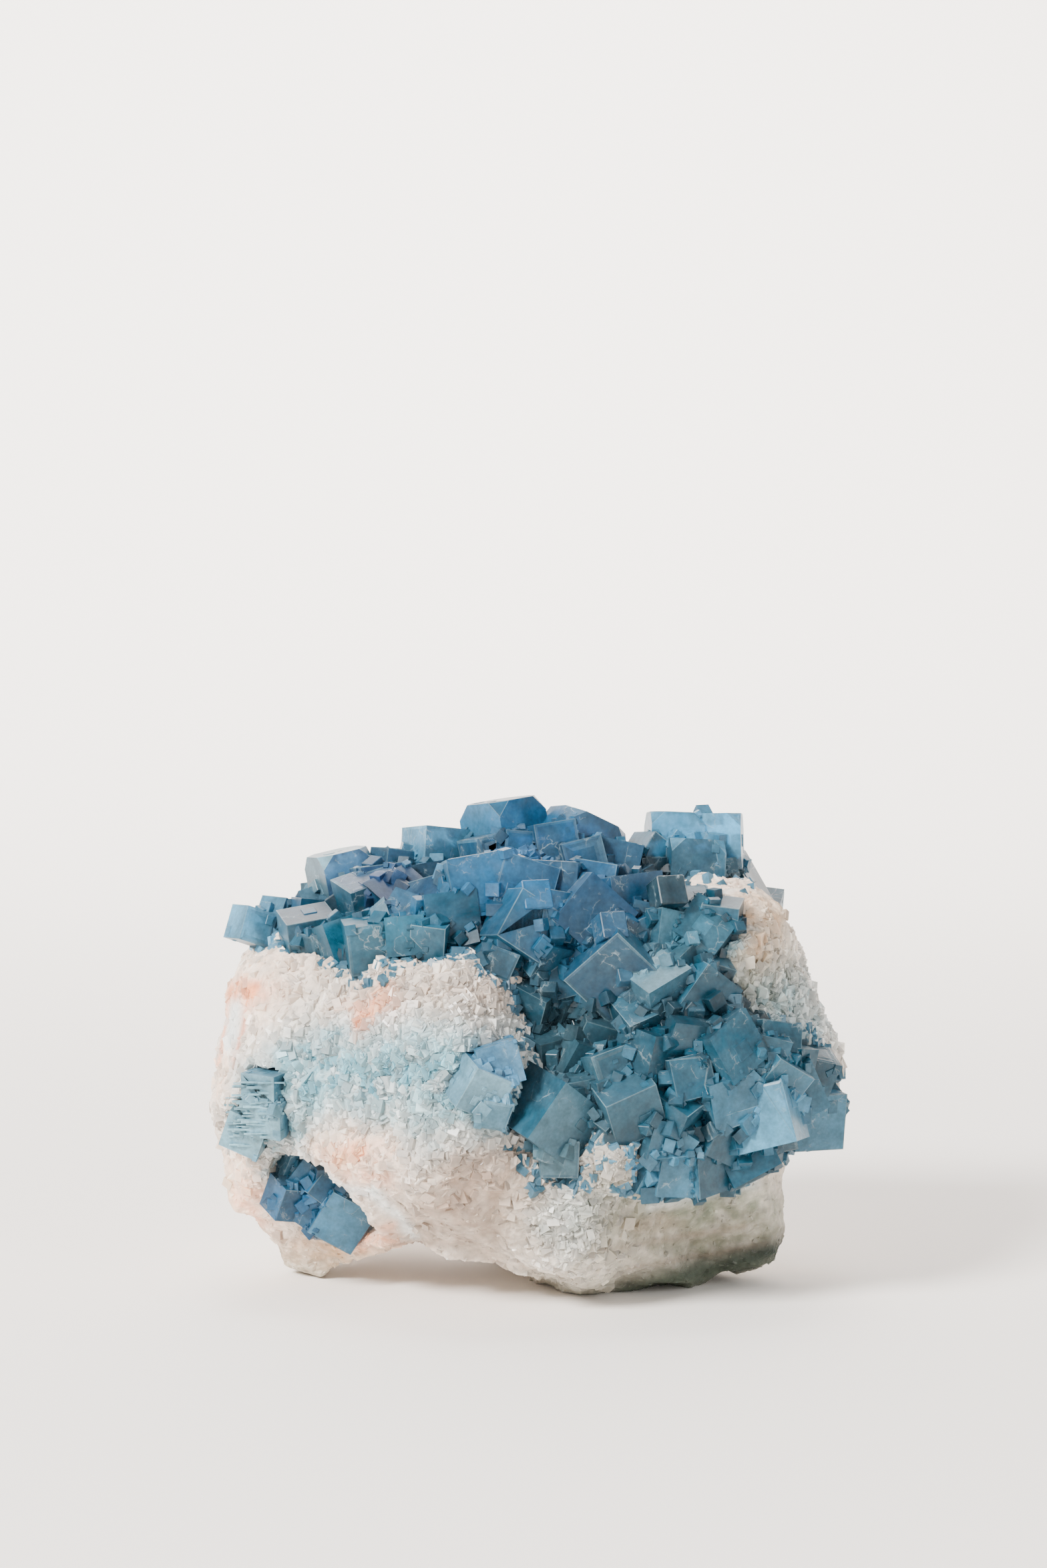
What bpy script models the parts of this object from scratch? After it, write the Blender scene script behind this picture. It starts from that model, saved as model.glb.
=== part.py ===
"""Blue fluorite on matrix: intergrown cubic crystals on an arched piece of pale granular rock.

Metres, +Z up. The specimen stands on z = 0 and its show face looks towards -Y.
Places on the show face are given in millimetres as they are seen: across (right is plus) and
up, from the specimen's centre, on a plane square to the line of sight of a viewer in front.
"""
import math
import random

import bmesh
import bpy
from mathutils import Euler, Matrix, Vector, noise
from mathutils.bvhtree import BVHTree

MM = 0.001

# Viewing geometry that the places on the show face are measured in
CENTRE = Vector((0.0, 0.0, 40.4)) * MM
SIGHT_TILT = math.radians(9.0)
SIGHT_DISTANCE = 700 * MM
RIGHT = Vector((1.0, 0.0, 0.0))
UP = Vector((0.0, math.sin(SIGHT_TILT), math.cos(SIGHT_TILT)))
AWAY = Vector((0.0, math.cos(SIGHT_TILT), -math.sin(SIGHT_TILT)))
EYE = CENTRE - AWAY * SIGHT_DISTANCE

# The rock
FRONT_DEPTH = 33.0
BACK_DEPTH = 37.0
SQUARENESS = 2.35
ROCK_FINENESS = 6
CORE_FINENESS = 3
ROOT_DEPTH = 4.5
POCKET_ROOT_DEPTH = 15.0
ROCK_SHARE_KEPT = 0.1
SOCKET_GAP = 0.3
ROCK_OUTLINE = (
    (54.0, -3.0), (52.0, -12.0), (47.0, -19.0), (44.8, -24.0), (44.6, -29.0), (45.4, -32.5),
    (43.0, -36.5), (30.0, -41.0), (14.0, -44.0), (2.0, -41.5), (-5.0, -38.5), (-18.0, -35.0),
    (-28.0, -37.5), (-37.0, -42.0), (-43.0, -41.0), (-46.4, -36.0), (-48.6, -29.0), (-52.0, -19.0),
    (-55.0, -10.5), (-53.0, -5.0), (-51.8, 4.5), (-50.6, 12.5), (-46.5, 17.5), (-39.0, 20.5),
    (-32.0, 26.0), (-24.0, 27.5), (-13.0, 30.0), (0.0, 33.0), (9.0, 32.0), (17.0, 27.5),
    (24.0, 28.0), (33.0, 30.0), (40.5, 28.0), (44.4, 23.5), (48.0, 15.0), (50.5, 9.5),
)
# Lumps and hollows of the show face: across, up, radius, height towards the viewer
FRONT_FORMS = (
    (-8.0, -14.0, 19.0, 9.5),
    (-16.0, 5.0, 13.0, 6.0),
    (7.0, -31.0, 13.0, 4.5),
    (7.0, 4.0, 9.5, -12.0),
    (5.0, -15.0, 7.0, -5.0),
    (33.0, -8.0, 15.0, 5.0),
    (24.0, 25.0, 7.0, -9.0),
    (38.0, 19.0, 11.0, 5.0),
    (34.0, -28.0, 12.0, -5.0),
    (36.0, -40.0, 12.0, -12.0),
    (14.8, -18.7, 5.5, 5.5),
    (-26.5, -20.5, 7.0, 3.5),
    (-17.0, -27.5, 7.5, 3.5),
    (-41.0, -34.0, 14.0, -18.0),
    (-30.0, 22.0, 10.0, -4.0),
    (-46.0, 6.0, 8.0, 3.0),
)
# Lumps and hollows of the back: across, up, radius, height away from the viewer
BACK_FORMS = (
    (-24.0, 2.0, 12.0, 4.0),
    (20.0, 4.0, 11.0, -6.0),
    (34.0, -16.0, 10.0, 4.0),
    (-4.0, -20.0, 11.0, -6.0),
    (-36.0, -22.0, 9.0, 4.0),
    (8.0, -30.0, 8.0, 4.0),
)
# Rough breaks that flatten the back and the undersides of the left foot and the right end:
# outward direction (across, away, up), distance out
BREAKS = (
    ((-0.50, -0.45, -0.74), 45.6),
    ((0.28, -0.20, -0.94), 47.0),
    ((0.10, 0.98, 0.15), 28.0),
    ((-0.72, 0.66, -0.20), 42.0),
    ((0.70, 0.68, -0.22), 41.0),
    ((0.28, 0.64, -0.72), 41.0),
)
BREAK_FLATNESS = 0.85
ROUGH_SCALE = 15.0
ROUGH_HEIGHT = 2.2
CHIP_SCALE = 6.0
CHIP_HEIGHT = 1.1

# The hollow at the lower left and the arch between the two feet
POCKET_CENTRE = (-34.0, -26.6)
POCKET_RADII = (12.0, 10.5, 6.0)
POCKET_ROLL = math.radians(33.0)
POCKET_SINK = 2.0
ARCH_MIDDLE = -17.0
ARCH_HALF_SPAN = 17.5
ARCH_HEIGHT = 7.5
ARCH_TURN = math.radians(8.0)
ARCH_SIDES = 20

# Main crystals: across, up, edge, yaw, pitch, roll, how far the centre stands out of the rock
# in edges. A crystal of the crest, which no rock stands behind, has its depth in place of that.
CREST_CRYSTALS = (
    (-47.4, 20.4, 6.0, 30, -4, 20, -4), (-42.4, 21.8, 5.8, 50, 0, 28, 0),
    (-37.0, 22.2, 5.8, 20, -4, 8, -4), (-31.2, 21.6, 5.4, -15, -6, -5, -7),
    (-31.6, 28.8, 9.4, 25, -5, -10, 2), (-22.6, 30.6, 6.4, 30, -4, 10, 0),
    (-24.4, 26.6, 9.0, 15, -8, -6, -6), (-17.0, 27.0, 8.6, 12, -8, -8, -7),
    (-15.4, 33.0, 8.8, 30, -8, 8, 2), (-3.2, 37.0, 10.8, 42, -8, -4, 2),
    (3.0, 30.0, 14.0, 10, -6, 8, 4), (5.4, 34.8, 7.4, 10, -8, -8, -6),
    (-5.2, 32.2, 8.4, 28, -8, -10, -4), (-0.4, 33.0, 7.6, 12, -8, 6, -5),
    (9.0, 33.2, 12.4, 20, -8, 26, 0), (10.6, 32.0, 7.0, 6, -8, -14, -10),
    (16.2, 31.2, 8.0, -4, -8, 12, -7), (21.0, 29.4, 5.8, 40, -6, 2, -5),
    (26.2, 35.4, 9.4, 6, -8, 3, 2), (33.2, 35.0, 9.8, -6, -8, -2, 3),
    (29.4, 30.6, 9.6, 10, -8, 4, -2), (22.0, 31.0, 8.4, 20, -8, 38, 0),
    (25.0, 26.0, 7.4, -20, 6, -8, -2),
)
# The largest crystals of the crest have their corners cut off, by this share of an edge
CUT_FROM = 9.0
CORNER_CUT = 0.24
FACE_CRYSTALS = (
    (-7.8, 27.4, 10.2, 8, -9, -9, 0.34), (-1.0, 26.8, 9.8, 14, -9, 18, 0.30),
    (5.2, 26.9, 9.0, -8, -9, 2, 0.34), (11.2, 22.2, 10.4, 8, -9, 42, 0.28),
    (18.2, 24.4, 9.6, 24, -9, -4, 0.26), (-0.6, 20.4, 9.2, 20, -9, 34, 0.26),
    (-12.8, 21.6, 9.0, 10, -9, -6, 0.24), (4.8, 21.8, 8.4, 30, -9, 12, 0.28),
    (12.6, 27.8, 7.4, -12, -9, 8, 0.3),
    (-26.6, 17.2, 8.2, 8, 4, -7, 0.20), (-20.6, 18.8, 6.6, 4, -6, -5, 0.25),
    (-16.0, 18.2, 6.0, -12, 10, 6, 0.2), (-36.2, 17.4, 4.8, -20, 14, 10, 0.1),
    (21.4, 24.4, 8.4, 30, 10, 20, 0.0),
    (4.8, 19.2, 4.4, 15, 20, 30, 0.4), (3.4, 15.6, 6.2, 40, 28, 12, 0.2),
    (-4.2, 14.8, 5.0, 10, 12, 22, 0.1), (28.8, 22.4, 7.4, 12, 16, -2, 0.2),
    (24.4, 18.6, 8.2, 34, -8, 14, 0.15), (34.4, 21.6, 6.4, -10, 10, 6, -0.1),
    (32.6, 12.4, 5.4, 24, 22, 20, 0.15), (30.6, 9.0, 8.4, 30, 8, 36, 0.05),
    (16.2, 13.4, 12.4, 14, 22, 44, 0.05), (23.0, 9.6, 9.0, 30, 24, -24, 0.05),
    (6.4, 11.4, 7.4, 8, -14, -14, 0.3), (2.2, 7.6, 6.6, -24, 22, 24, 0.4),
    (28.0, 1.0, 8.8, 20, 18, 10, 0.1), (34.6, -0.6, 9.2, 40, -10, -28, 0.15),
    (41.4, -1.2, 7.0, 12, 10, 16, 0.0), (46.8, -3.0, 5.4, 46, 8, 8, 0.2),
    (50.2, -4.4, 6.2, 20, 20, 14, 0.0), (43.0, -5.6, 8.4, 36, 24, 30, 0.15),
    (37.2, -3.6, 4.4, 20, 20, 20, 0.5), (42.0, -12.4, 10.4, -14, -6, -16, 0.25),
    (49.0, -12.6, 9.6, 28, 4, 2, 0.1), (34.4, -9.0, 8.4, 26, 6, -14, 0.1),
    (33.6, -14.8, 8.4, 44, 18, 24, 0.15), (37.2, -18.6, 9.2, 18, -12, -24, 0.15),
    (28.0, -5.6, 7.2, 22, -8, -10, 0.2), (26.2, -11.8, 7.4, -26, 18, 30, 0.3),
    (17.8, -10.2, 9.2, 14, 24, -22, 0.2), (23.0, -15.6, 6.8, 34, 12, 10, 0.1),
    (25.6, -16.4, 6.4, 10, 16, 34, 0.15), (25.8, -21.0, 8.6, 24, 6, 6, 0.1),
    (30.0, -21.4, 8.0, 46, 0, -6, 0.1), (21.6, -22.4, 6.0, 36, 20, 20, 0.1),
    (4.4, -12.2, 11.0, 42, 14, 34, 0.25), (8.6, -9.2, 8.2, 16, 10, -8, 0.2),
    (9.2, -3.0, 8.2, 32, 18, 22, 0.2), (15.8, -5.4, 9.2, 22, -10, -16, 0.15),
    (4.4, -1.2, 6.6, 28, 14, -12, 0.3), (6.8, 4.8, 8.0, 44, 12, 12, 0.2),
    (12.8, 1.2, 8.6, 14, 22, 18, 0.2), (12.8, 6.6, 8.6, 34, -6, 30, 0.1),
    (20.6, 4.0, 8.2, 20, 30, -20, 0.1), (22.0, -2.0, 8.6, 44, 10, 8, 0.15),
    (6.0, -19.2, 6.2, 6, 4, 2, 0.25),
)
PERCHED_CRYSTALS = (
    (-4.4, -3.4, 6.8, 10, -4, -14, 0.24), (-8.0, -7.2, 7.6, 30, 18, 24, -0.05),
    (-5.6, -11.0, 5.2, 20, 24, 12, 0.0),
)
POCKET_CRYSTALS = (
    (-36.8, -25.0, 10.0, 8, 10, 36, 0.35), (-31.6, -29.2, 8.6, 14, 16, 30, 0.45),
    (-38.8, -20.8, 7.0, 24, 12, 20, 0.35), (-33.6, -23.6, 8.0, 30, 8, 38, 0.65),
    (-28.0, -28.4, 7.4, 22, 14, 24, 0.55), (-40.8, -26.6, 6.0, 35, 20, 10, 0.3),
)
BAND_CRYSTALS = (
    (-44.2, -8.0, 6.6, -30, 4, 2, -0.3), (-43.6, -12.2, 6.4, -24, 10, 4, -0.25),
    (-47.4, -14.4, 7.0, -10, 16, 22, -0.25),
)
# The crust that the face crystals rise from: where it shows, and the size and spacing of its cubes
CRUST_EDGE = (
    (-49.8, 19.4), (-37.6, 25.1), (-37.5, 27.8), (-24.0, 27.0), (-13.2, 23.0), (15.5, 21.5),
    (24.2, 28.0), (27.3, 34.0), (36.6, 33.0), (35.4, 28.0), (27.3, 27.0), (25.6, 23.7),
    (32.4, 23.0), (31.7, 14.4), (35.0, 5.4), (41.6, 0.8), (47.1, -3.0), (53.5, -4.0), (52.1, -8.6),
    (51.4, -15.4), (42.1, -17.4), (31.7, -21.6), (20.5, -22.6), (20.8, -20.0), (20.8, -13.8),
    (13.0, -11.4), (6.2, -16.6), (3.6, -12.9), (4.6, -5.0), (1.6, 1.4), (0.6, 6.5), (4.0, 12.9),
    (-4.6, 14.4), (-13.9, 16.4), (-24.0, 15.6), (-32.6, 15.4), (-36.2, 18.0), (-41.2, 19.4),
)
CRUST_SEED = 5
CRUST_SPACING = 7.0
CRUST_EDGES = (7.5, 10.0)
CRUST_STAND = -0.22
# The crust's far side, over the crest and part of the way down the back, in rows around the rock
BACK_SEED = 11
BACK_SPAN = (-35.0, 24.0)
BACK_SPACING = 8.6
BACK_ROWS = (14, 26, 38, 49)
BACK_EDGES = (8.5, 12.0)
BACK_TURN = 40
BACK_SINK = 0.16


def on_sight_plane(across, up):
    """The point seen at that place, on the plane through the centre."""
    return CENTRE + (RIGHT * across + UP * up) * MM


def sight_line(across, up):
    """The direction from the viewer's eye through that place."""
    return (on_sight_plane(across, up) - EYE).normalized()


def outline_reach(angle, corners):
    """Distance from the centre to the rock's outline at an angle, eased between its points."""
    turn = 2 * math.pi
    for (start, near), (end, far) in zip(corners, corners[1:] + corners[:1]):
        width = (end - start) % turn
        along = (angle - start) % turn
        if along <= width:
            share = along / width
            share = share * share * (3 - 2 * share)
            return near + (far - near) * share
    return corners[0][1]


def facet_height(place):
    """Height of a chipped surface, as flat plates that step between Voronoi cells."""
    distances, points = noise.voronoi(place)
    tilt = Vector((noise.cell(points[0]), noise.cell(points[0].yzx), noise.cell(points[0].zxy)))
    return noise.cell(points[0] * 3.0) * 0.6 + (place - points[0]).dot(tilt) * 0.9


def rock_body(fineness, inset=0.0):
    """The rock before anything is cut from it, shaped by its outline, depth and named forms.

    With an inset it is the core that lies that many millimetres under the surface.
    """
    corners = sorted((math.atan2(up, across), math.hypot(across, up)) for across, up in ROCK_OUTLINE)
    mesh = bmesh.new()
    bmesh.ops.create_icosphere(mesh, subdivisions=fineness, radius=1.0)
    for vert in mesh.verts:
        across, away, up = vert.co
        side = math.hypot(across, up)
        reach = outline_reach(math.atan2(up, across), corners)
        depth = BACK_DEPTH if away > 0 else FRONT_DEPTH
        size = ((side / reach) ** SQUARENESS + (abs(away) / depth) ** SQUARENESS) ** (-1 / SQUARENESS)
        place = vert.co * size
        for facing, forms in ((-1.0, FRONT_FORMS), (1.0, BACK_FORMS)):
            if away * facing < 0:
                continue
            lean = min(1.0, abs(away) * 2.0)
            for form_across, form_up, radius, height in forms:
                distance = math.hypot(place.x - form_across, place.z - form_up)
                place.y += facing * height * lean * math.exp(-((distance / radius) ** 2))
        for facing, reach in BREAKS:
            over = place.x * facing[0] + place.y * facing[1] + place.z * facing[2] - reach
            place -= Vector(facing) * max(0.0, over) * BREAK_FLATNESS
        out = place.normalized()
        rough = noise.fractal(place / ROUGH_SCALE, 0.9, 2.0, 3) * ROUGH_HEIGHT
        chips = facet_height(place / CHIP_SCALE) * CHIP_HEIGHT
        place += out * (rough + chips - 0.5 * CHIP_HEIGHT - inset)
        vert.co = CENTRE + (RIGHT * place.x + AWAY * place.y + UP * place.z) * MM
    return finished(mesh, "rock_body")


def finished(mesh, name):
    """An object in the scene that holds the bmesh."""
    data = bpy.data.meshes.new(name)
    mesh.to_mesh(data)
    mesh.free()
    thing = bpy.data.objects.new(name, data)
    bpy.context.scene.collection.objects.link(thing)
    return thing


def evaluated(thing):
    """Replaces an object's mesh by what its modifiers make of it."""
    bpy.context.view_layer.update()
    graph = bpy.context.evaluated_depsgraph_get()
    data = bpy.data.meshes.new_from_object(thing.evaluated_get(graph))
    thing.modifiers.clear()
    thing.data = data
    return thing


def boolean(thing, others, operation):
    """Joins or cuts thing with the others, which are then removed."""
    helpers = bpy.data.collections.new("helpers")
    for other in others:
        helpers.objects.link(other)
    modifier = thing.modifiers.new(operation.lower(), "BOOLEAN")
    modifier.operation = operation
    modifier.operand_type = "COLLECTION"
    modifier.collection = helpers
    modifier.solver = "EXACT"
    evaluated(thing)
    for other in others:
        bpy.data.objects.remove(other)
    bpy.data.collections.remove(helpers)
    return thing


def largest_body(thing):
    """Deletes the loose chips that joining and cutting leave, and keeps the largest body."""
    mesh = bmesh.new()
    mesh.from_mesh(thing.data)
    unseen = set(mesh.faces)
    bodies = []
    while unseen:
        front = [unseen.pop()]
        body = set(front)
        while front:
            for edge in front.pop().edges:
                for face in edge.link_faces:
                    if face in unseen:
                        unseen.remove(face)
                        body.add(face)
                        front.append(face)
        bodies.append(body)
    bodies.sort(key=len)
    for body in bodies[:-1]:
        bmesh.ops.delete(mesh, geom=list(body), context="FACES")
    mesh.to_mesh(thing.data)
    mesh.free()


def pocket_cutter():
    """The hollow at the lower left, a slanting oval under the overhanging lobe."""
    mesh = bmesh.new()
    bmesh.ops.create_icosphere(mesh, subdivisions=3, radius=1.0)
    front = seat(*POCKET_CENTRE)
    turn = Matrix.Rotation(POCKET_ROLL, 3, AWAY)
    for vert in mesh.verts:
        wobble = 1.0 + 0.12 * noise.noise(vert.co * 1.7)
        across, away, up = (c * r * wobble for c, r in zip(vert.co, POCKET_RADII))
        vert.co = front + turn @ (RIGHT * across + UP * up + AWAY * (away + POCKET_SINK)) * MM
    return finished(mesh, "pocket_cutter")


def arch_cutter():
    """A tunnel with an oval roof, which runs under the rock from front to back."""
    mesh = bmesh.new()
    reach = 80 * MM
    ring = []
    for side in range(ARCH_SIDES):
        angle = 2 * math.pi * (side + 0.5) / ARCH_SIDES
        rough = 1.0 + 0.1 * noise.noise(Vector((math.cos(angle), math.sin(angle), 3.0)) * 2.0)
        across = ARCH_HALF_SPAN * math.cos(angle) * rough * MM
        up = ARCH_HEIGHT * math.sin(angle) * rough * MM
        ring.append(mesh.verts.new((across, -reach, up)))
    face = mesh.faces.new(ring)
    made = bmesh.ops.extrude_face_region(mesh, geom=[face])
    moved = [v for v in made["geom"] if isinstance(v, bmesh.types.BMVert)]
    bmesh.ops.translate(mesh, verts=moved, vec=(0, 2 * reach, 0))
    bmesh.ops.rotate(mesh, verts=mesh.verts, matrix=Matrix.Rotation(ARCH_TURN, 3, "Z"))
    bmesh.ops.translate(mesh, verts=mesh.verts, vec=(ARCH_MIDDLE * MM, 0, 0))
    bmesh.ops.recalc_face_normals(mesh, faces=mesh.faces)
    return finished(mesh, "arch_cutter")


def floor_cutter():
    """All that lies below the surface that the specimen stands on."""
    mesh = bmesh.new()
    deep = 60 * MM
    bmesh.ops.create_cube(mesh, size=1.0)
    bmesh.ops.scale(mesh, verts=mesh.verts, vec=(0.3, 0.3, deep))
    bmesh.ops.translate(mesh, verts=mesh.verts, vec=(0, 0, -deep / 2))
    return finished(mesh, "floor_cutter")


def surface_of(thing):
    """A tree that finds where a line meets the object's surface."""
    mesh = bmesh.new()
    mesh.from_mesh(thing.data)
    tree = BVHTree.FromBMesh(mesh)
    mesh.free()
    return tree


def seat(across, up):
    """Where the viewer's line through that place meets the rock."""
    place, _, _, _ = rock_surface.ray_cast(EYE, sight_line(across, up))
    return place


def cube_at(centre, edge, turn, cut, grow):
    """A cubic crystal, its corners cut off, or with grow the slightly larger socket it sits in."""
    mesh = bmesh.new()
    side = (edge + 2 * grow) * MM
    bmesh.ops.create_cube(mesh, size=side, matrix=Matrix.Translation(centre) @ turn.to_matrix().to_4x4())
    if cut:
        bmesh.ops.bevel(mesh, geom=mesh.verts, offset=cut * side, affect="VERTICES", segments=1)
    return finished(mesh, "cube")


def turned(yaw, pitch, roll):
    return Euler((math.radians(pitch), math.radians(roll), math.radians(yaw)))


def seated_crystals(rows):
    """Places of the crystals whose roots are in the rock behind them."""
    for across, up, edge, yaw, pitch, roll, stand in rows:
        centre = seat(across, up) - sight_line(across, up) * stand * edge * MM
        yield centre, edge, turned(yaw, pitch, roll), 0.0


def crest_crystals(rows):
    """Places of the crystals of the crest, by their depth behind the sight plane."""
    for across, up, edge, yaw, pitch, roll, depth in rows:
        line = sight_line(across, up)
        centre = on_sight_plane(across, up) + line * depth * MM
        yield centre, edge, turned(yaw, pitch, roll), CORNER_CUT if edge > CUT_FROM else 0.0


def inside(across, up, corners):
    """Whether a place lies within a closed outline, by counting the sides to its right."""
    crossings = 0
    for (a_across, a_up), (b_across, b_up) in zip(corners, corners[1:] + corners[:1]):
        if (a_up > up) != (b_up > up):
            crossings += across < a_across + (up - a_up) * (b_across - a_across) / (b_up - a_up)
    return crossings % 2 == 1


def crust_crystals():
    """Places of the cubes that the crust between the larger crystals is made of."""
    draw = random.Random(CRUST_SEED)
    steps = round(60 / CRUST_SPACING)
    for row in range(-steps, steps + 1):
        for column in range(-steps, steps + 1):
            across = (column + 0.5 * (row % 2) + draw.uniform(-0.25, 0.25)) * CRUST_SPACING
            up = (row * 0.87 + draw.uniform(-0.25, 0.25)) * CRUST_SPACING
            edge = draw.uniform(*CRUST_EDGES)
            angles = [draw.uniform(-45, 45) for _ in range(3)]
            place = seat(across, up)
            if place is None or not inside(across, up, CRUST_EDGE):
                continue
            centre = place - sight_line(across, up) * CRUST_STAND * edge * MM
            yield centre, edge, turned(*angles), 0.0


def back_crystals():
    """Places of crystals on the crest's far side, which hold the crust together."""
    draw = random.Random(BACK_SEED)
    columns = round((BACK_SPAN[1] - BACK_SPAN[0]) / BACK_SPACING)
    for row, lean in enumerate(BACK_ROWS):
        for column in range(columns + 1):
            across = BACK_SPAN[0] + (column + 0.5 * (row % 2) + draw.uniform(-0.3, 0.3)) * BACK_SPACING
            over = math.radians(lean + draw.uniform(-4, 4))
            outward = Vector((across * 0.012, math.sin(over), math.cos(over))).normalized()
            start = Vector((across * MM, 4 * MM, 46 * MM)) + outward * 80 * MM
            place, _, _, _ = rock_surface.ray_cast(start, -outward)
            edge = draw.uniform(*BACK_EDGES)
            angles = [draw.uniform(-BACK_TURN, BACK_TURN) for _ in range(3)]
            yield place - outward * BACK_SINK * edge * MM, edge, turned(*angles), 0.0


def crystal_cluster(name, crystals, root_depth, material):
    """One intergrown solid from overlapping cubes, and the cutter for its socket."""
    solids = []
    for grow, label in ((0.0, name), (SOCKET_GAP, name + "_socket")):
        cubes = [cube_at(*crystal, grow) for crystal in crystals]
        solid = boolean(cubes[0], cubes[1:], "UNION")
        boolean(solid, [rock_body(CORE_FINENESS, root_depth + grow)], "DIFFERENCE")
        solid.name = label
        largest_body(solid)
        solids.append(solid)
    solids[0].data.materials.clear()
    solids[0].data.materials.append(material)
    return solids


def centre_on_base(things):
    """Puts the origin under the middle of the whole, at its lowest level."""
    spots = [vert.co for thing in things for vert in thing.data.vertices]
    lows = [min(spot[axis] for spot in spots) for axis in range(3)]
    highs = [max(spot[axis] for spot in spots) for axis in range(3)]
    shift = Vector((-(lows[0] + highs[0]) / 2, -(lows[1] + highs[1]) / 2, -lows[2]))
    for thing in things:
        thing.data.transform(Matrix.Translation(shift))


def plain_material(name, colour, roughness):
    """A Principled BSDF finish."""
    made = bpy.data.materials.new(name)
    made.use_nodes = True
    shader = made.node_tree.nodes["Principled BSDF"]
    shader.inputs["Base Color"].default_value = (*colour, 1.0)
    shader.inputs["Roughness"].default_value = roughness
    shader.inputs["Metallic"].default_value = 0.0
    return made


for old in list(bpy.data.objects):
    bpy.data.objects.remove(old)

blue = plain_material("blue_fluorite", (0.10, 0.24, 0.36), 0.25)
pale_blue = plain_material("pale_blue_fluorite", (0.42, 0.60, 0.68), 0.3)
cream = plain_material("cream_matrix", (0.72, 0.66, 0.60), 0.8)

rock = rock_body(ROCK_FINENESS)
thinner = rock.modifiers.new("decimate", "DECIMATE")
thinner.ratio = ROCK_SHARE_KEPT
evaluated(rock)
rock_surface = surface_of(rock)
boolean(rock, [pocket_cutter()], "DIFFERENCE")
boolean(rock, [arch_cutter(), floor_cutter()], "DIFFERENCE")
rock_surface = surface_of(rock)

main_crystals = [
    *crest_crystals(CREST_CRYSTALS),
    *seated_crystals(FACE_CRYSTALS),
    *crust_crystals(),
    *back_crystals(),
]
sockets = []
for cluster_name, places, root_depth, finish in (
    ("blue_crystals", main_crystals, ROOT_DEPTH, blue),
    ("perched_crystals", list(seated_crystals(PERCHED_CRYSTALS)), ROOT_DEPTH, pale_blue),
    ("pocket_crystals", list(seated_crystals(POCKET_CRYSTALS)), POCKET_ROOT_DEPTH, blue),
    ("band_crystals", list(seated_crystals(BAND_CRYSTALS)), ROOT_DEPTH, pale_blue),
):
    _, socket = crystal_cluster(cluster_name, places, root_depth, finish)
    sockets.append(socket)

boolean(rock, sockets, "DIFFERENCE")
largest_body(rock)
rock.name = "matrix"
rock.data.materials.clear()
rock.data.materials.append(cream)
centre_on_base(list(bpy.context.scene.objects))
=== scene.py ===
import math
import random

import bmesh
import bpy
import numpy as np
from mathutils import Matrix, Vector, noise
from mathutils.bvhtree import BVHTree


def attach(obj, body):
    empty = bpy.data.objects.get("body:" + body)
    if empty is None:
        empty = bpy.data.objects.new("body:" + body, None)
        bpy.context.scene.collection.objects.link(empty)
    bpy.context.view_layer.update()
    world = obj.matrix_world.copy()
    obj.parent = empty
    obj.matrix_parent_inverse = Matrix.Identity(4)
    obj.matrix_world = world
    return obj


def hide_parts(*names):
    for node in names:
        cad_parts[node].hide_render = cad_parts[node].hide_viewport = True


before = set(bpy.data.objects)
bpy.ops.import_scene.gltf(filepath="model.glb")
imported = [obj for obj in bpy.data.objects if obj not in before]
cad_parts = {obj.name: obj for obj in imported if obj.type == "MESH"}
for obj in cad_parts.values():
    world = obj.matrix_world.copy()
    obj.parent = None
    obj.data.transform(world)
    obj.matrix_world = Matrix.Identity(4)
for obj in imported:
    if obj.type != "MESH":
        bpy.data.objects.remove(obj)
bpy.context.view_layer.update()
MM = 0.001

# The viewer's line of sight. Places on the show face are millimetres across and up from the
# specimen's centre, on a plane square to that line.
CENTRE = Vector((-0.8, 7.0, 40.4)) * MM
SIGHT_TILT = math.radians(9.0)
SIGHT_DISTANCE = 700 * MM
RIGHT = Vector((1.0, 0.0, 0.0))
UP = Vector((0.0, math.sin(SIGHT_TILT), math.cos(SIGHT_TILT)))
AWAY = Vector((0.0, math.cos(SIGHT_TILT), -math.sin(SIGHT_TILT)))
EYE = CENTRE - AWAY * SIGHT_DISTANCE


# The camera stands at the eye. Its frame is taller than the specimen, which sits in the lower
# half, so the axis is turned up from the specimen's centre by that offset.
FRAME_HEIGHT_PX = 2349
PX_PER_MM = 8.618
CENTRE_BELOW_PX = 389.0
SENSOR_MM = 36.0
focal_px = SIGHT_DISTANCE / MM * PX_PER_MM
camera_data = bpy.data.cameras.new("camera")
camera_data.sensor_width = SENSOR_MM
camera_data.lens = SENSOR_MM * focal_px / FRAME_HEIGHT_PX
camera_data.clip_start = 0.01
camera_data.dof.use_dof = False
camera = bpy.data.objects.new("camera", camera_data)
bpy.context.scene.collection.objects.link(camera)
bpy.context.scene.camera = camera
camera.location = EYE
pitch = math.atan(CENTRE_BELOW_PX / focal_px) - SIGHT_TILT
camera.rotation_euler = (math.radians(90) + pitch, 0.0, 0.0)

# The floor and the backdrop are one pale sheet of matt paper, swept up behind the specimen in a
# wide curve, so that no edge shows.
SHEET_HALF_WIDTH = 2.5
SHEET_FRONT = -2.2
SHEET_TOP = 3.0
SWEEP_START = 0.55
SWEEP_RADIUS = 0.6
SWEEP_STEPS = 24


def srgb(red, green, blue):
    """A linear colour from the 0 to 255 values of an sRGB one."""
    return tuple(
        (c / 12.92 if c <= 0.04045 else ((c + 0.055) / 1.055) ** 2.4)
        for c in (red / 255, green / 255, blue / 255)
    )


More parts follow.
